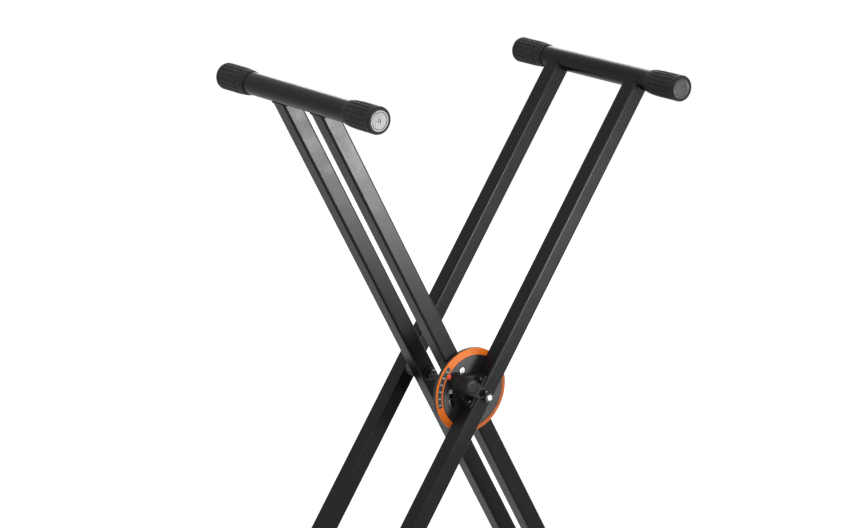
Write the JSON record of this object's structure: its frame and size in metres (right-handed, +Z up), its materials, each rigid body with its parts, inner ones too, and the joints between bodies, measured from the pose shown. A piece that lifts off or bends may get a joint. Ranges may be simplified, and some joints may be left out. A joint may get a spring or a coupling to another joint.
{
  "type": "folding keyboard stand",
  "caption": "Folding X-frame keyboard stand of braced square tube, with a graduated hub drum, a clutch lock with a finger trigger, and rubber-capped bars.",
  "frame": {"origin": "on the floor under the main pivot, at the centre of the footprint", "axes": "+Z up; X from frame to frame across the fold; Y along the bars; the lock and its scale face -Y"},
  "size_m": [0.551, 0.5, 0.8709],
  "materials": {
    "frame_paint": "satin black powder coat on steel tube",
    "rubber": "matt black rubber",
    "plug_plastic": "satin dark grey moulding",
    "drum_plastic": "fine textured black moulding",
    "orange_plastic": "orange moulding",
    "label_film": "black film with pale numbers and ticks",
    "pointer_red": "red moulding",
    "lever_plastic": "satin black glass filled moulding",
    "zinc_steel": "bright zinc plate",
    "dark_steel": "black zinc plate",
    "nylon": "dark nylon"
  },
  "bodies": {
    "outer_frame": {"outer_front_arm": "frame_paint", "outer_rear_arm": "frame_paint", "outer_top_bar": "frame_paint", "outer_base_bar": "frame_paint", "outer_front_bush": "zinc_steel", "outer_rear_bush": "zinc_steel", "outer_front_top_cap": "rubber", "outer_rear_top_cap": "rubber", "outer_front_end_plug": "plug_plastic", "outer_rear_end_plug": "plug_plastic", "outer_front_base_cap": "rubber", "outer_rear_base_cap": "rubber", "front_pivot_bolt": "zinc_steel", "front_pivot_nut": "dark_steel", "front_pivot_washer": "dark_steel", "rear_pivot_bolt": "dark_steel", "rear_pivot_nut": "dark_steel", "rear_pivot_washer": "dark_steel", "rear_arm_spacer": "nylon", "thrust_washer": "nylon", "lock_housing": "lever_plastic", "upper_housing_screw": "dark_steel", "lower_housing_screw": "dark_steel", "angle_pointer": "pointer_red", "clutch_carrier": "dark_steel", "clutch_spring": "dark_steel", "trigger_spring": "dark_steel"},
    "inner_frame": {"inner_front_arm": "frame_paint", "inner_rear_arm": "frame_paint", "inner_top_bar": "frame_paint", "inner_base_bar": "frame_paint", "inner_front_bush": "zinc_steel", "inner_rear_bush": "zinc_steel", "inner_front_top_cap": "rubber", "inner_rear_top_cap": "rubber", "inner_front_end_plug": "plug_plastic", "inner_rear_end_plug": "plug_plastic", "inner_front_base_cap": "rubber", "inner_rear_base_cap": "rubber", "drum_housing": "drum_plastic", "drum_cover": "drum_plastic", "scale_ring": "orange_plastic", "scale_label": "label_film", "upper_cover_screw": "zinc_steel", "lower_cover_screw": "zinc_steel", "clutch_rod": "zinc_steel"},
    "trigger": {"trigger_lever": "lever_plastic", "trigger_shaft": "zinc_steel", "release_cam": "zinc_steel"},
    "clutch_plates": {"clutch_plate_1": "zinc_steel", "clutch_plate_2": "zinc_steel", "clutch_plate_3": "zinc_steel", "clutch_plate_4": "zinc_steel"}
  },
  "joints": [
    {"name": "fold", "type": "hinge", "parent": "outer_frame", "child": "inner_frame", "pos_m": [0, 0, 0.43594], "axis": [0, 1, 0], "range_deg": [-8, 56]},
    {"name": "trigger_pull", "type": "hinge", "parent": "outer_frame", "child": "trigger", "pos_m": [-0.0318, -0.09, 0.45543], "axis": [0, -1, 0], "range_deg": [0, 12], "stiffness_Nm_per_rad": 0.4, "springref_deg": -28.65},
    {"name": "plate_tilt", "type": "hinge", "parent": "outer_frame", "child": "clutch_plates", "pos_m": [-0.03344, -0.062, 0.43922], "axis": [0, -1, 0], "range_deg": [0, 6]}
  ],
  "couplings": [
    {"joint": "plate_tilt", "follows": "trigger_pull", "ratio": 0.5}
  ]
}
